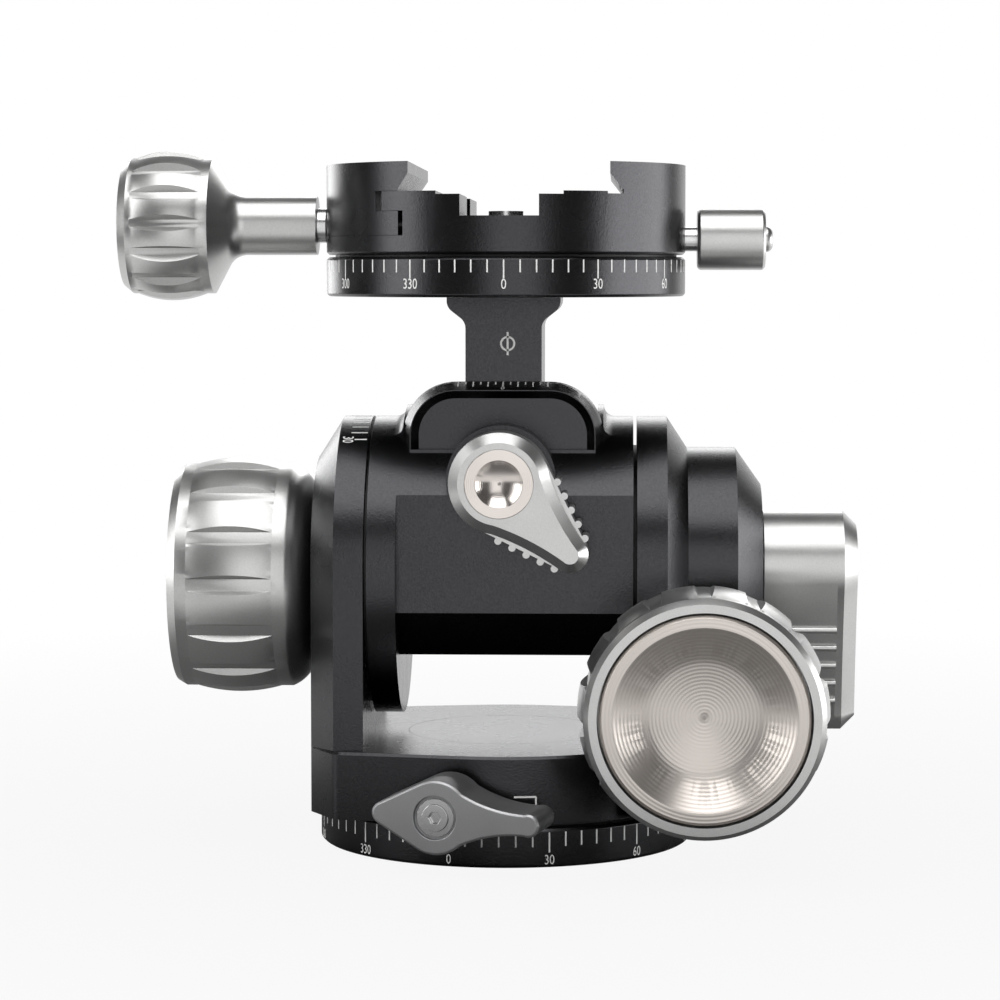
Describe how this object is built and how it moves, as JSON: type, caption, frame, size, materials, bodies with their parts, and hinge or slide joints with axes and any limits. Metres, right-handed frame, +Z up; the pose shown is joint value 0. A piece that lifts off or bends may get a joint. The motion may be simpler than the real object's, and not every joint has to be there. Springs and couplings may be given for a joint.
{
  "type": "geared tripod head",
  "caption": "Geared tripod head with panning base, worm-driven tilt and roll axes with fluted knobs, locking levers and a panning dovetail clamp on top.",
  "frame": {"origin": "centre of the base's underside, on the pan axis and at the mouth of the tripod thread", "axes": "+Z up along the pan axis, +X to the right as seen from the front, +Y to the back; the front with the tilt knob faces -Y"},
  "size_m": [0.1269, 0.0827, 0.1192],
  "materials": {
    "black_anodised": "satin black anodised aluminium",
    "silver_aluminium": "bead-blasted, clear anodised",
    "grey_plate": "grey anodised with bright edges",
    "steel": "turned stainless steel",
    "brass": "machined",
    "nylon": "black nylon"
  },
  "bodies": {
    "base_group": {"base_plate": "black_anodised", "thread_insert": "steel", "pan_washer": "nylon", "pan_retainer": "silver_aluminium", "retainer_screws": "steel"},
    "yoke_group": {"yoke_frame": "black_anodised", "gear_housing": "black_anodised", "housing_screws": "steel", "floor_cap": "black_anodised", "left_bush": "brass", "right_bush": "brass", "tilt_worm_bushes": "brass", "pan_brake_shoe": "brass"},
    "pan_lock_group": {"pan_wing": "grey_plate", "pan_wing_washer": "steel", "pan_wing_screw": "steel"},
    "drum_group": {"drum_housing": "black_anodised", "tilt_shaft": "steel", "tilt_worm_wheel": "brass", "clutch_plate": "steel", "left_friction_washer": "nylon", "right_friction_washer": "nylon", "roll_pivot_pin": "steel", "roll_pivot_nut": "black_anodised", "roll_worm_bushes": "brass"},
    "tilt_knob_group": {"tilt_knob": "silver_aluminium", "tilt_knob_dish": "silver_aluminium", "tilt_worm": "steel"},
    "tilt_lever_group": {"tilt_lever": "silver_aluminium", "tilt_lever_button": "silver_aluminium", "tilt_thrust_pin": "steel"},
    "roll_arm_group": {"neck": "black_anodised", "roll_sector": "brass", "top_scale_ring": "black_anodised", "top_spindle": "steel", "ring_screws": "steel", "clamp_washer": "nylon", "clamp_retainer": "steel", "clamp_retainer_screw": "steel"},
    "roll_knob_group": {"roll_knob": "silver_aluminium", "roll_knob_dish": "silver_aluminium", "roll_worm": "steel"},
    "roll_lever_group": {"roll_lever": "silver_aluminium", "roll_lever_button": "silver_aluminium"},
    "clamp_group": {"clamp_body": "black_anodised", "jaw_guide_pins": "steel", "top_brake_pad": "brass"},
    "top_lock_group": {"top_lock_knob": "silver_aluminium", "top_lock_screw": "steel"},
    "jaw_group": {"moving_jaw": "black_anodised", "clamp_screw_bush": "brass"},
    "clamp_knob_group": {"clamp_knob": "silver_aluminium", "clamp_screw": "steel", "clamp_knob_cap": "silver_aluminium", "screw_clip": "steel"}
  },
  "joints": [
    {"name": "pan_turn", "type": "hinge", "parent": "base_group", "child": "yoke_group", "pos_m": [0, 0, 0.01], "axis": [0, 0, 1], "continuous": true},
    {"name": "pan_lock_turn", "type": "hinge", "parent": "yoke_group", "child": "pan_lock_group", "pos_m": [0, 0, 0.01015], "axis": [-0.23, -0.9732, 0], "range_deg": [-20, 50]},
    {"name": "tilt", "type": "hinge", "parent": "yoke_group", "child": "drum_group", "pos_m": [0, 0, 0.04756], "axis": [1, 0, 0], "range_deg": [-90, 30]},
    {"name": "tilt_knob_turn", "type": "hinge", "parent": "yoke_group", "child": "tilt_knob_group", "pos_m": [0.03345, 0, 0.0274], "axis": [0, 1, 0], "range_deg": [-1810, 5410]},
    {"name": "tilt_lever_turn", "type": "hinge", "parent": "yoke_group", "child": "tilt_lever_group", "pos_m": [0, 0, 0.04756], "axis": [1, 0, 0], "range_deg": [0, 75]},
    {"name": "roll", "type": "hinge", "parent": "drum_group", "child": "roll_arm_group", "pos_m": [0, 0, 0.0637], "axis": [0, 1, 0], "range_deg": [-30, 30]},
    {"name": "roll_knob_turn", "type": "hinge", "parent": "drum_group", "child": "roll_knob_group", "pos_m": [0, 0, 0.0456], "axis": [1, 0, 0], "range_deg": [-1210, 1210]},
    {"name": "roll_lever_turn", "type": "hinge", "parent": "drum_group", "child": "roll_lever_group", "pos_m": [0, 0, 0.0637], "axis": [0, 1, 0], "range_deg": [0, 75]},
    {"name": "clamp_pan", "type": "hinge", "parent": "roll_arm_group", "child": "clamp_group", "pos_m": [0, 0, 0.105], "axis": [0, 0, 1], "continuous": true},
    {"name": "top_lock_turn", "type": "hinge", "parent": "clamp_group", "child": "top_lock_group", "pos_m": [0, 0, 0.104], "axis": [1, 0, 0], "range_deg": [0, 360]},
    {"name": "jaw_slide", "type": "slide", "parent": "clamp_group", "child": "jaw_group", "axis": [-1, 0, 0], "range_m": [-0.0007, 0.0043]},
    {"name": "clamp_knob_turn", "type": "hinge", "parent": "jaw_group", "child": "clamp_knob_group", "pos_m": [0, 0, 0.10635], "axis": [1, 0, 0], "range_deg": [-1549, 253]}
  ],
  "couplings": [
    {"joint": "tilt_knob_turn", "follows": "tilt", "ratio": -60},
    {"joint": "roll_knob_turn", "follows": "roll", "ratio": 40},
    {"joint": "clamp_knob_turn", "follows": "jaw_slide", "rad_per_m": -6283.2}
  ]
}
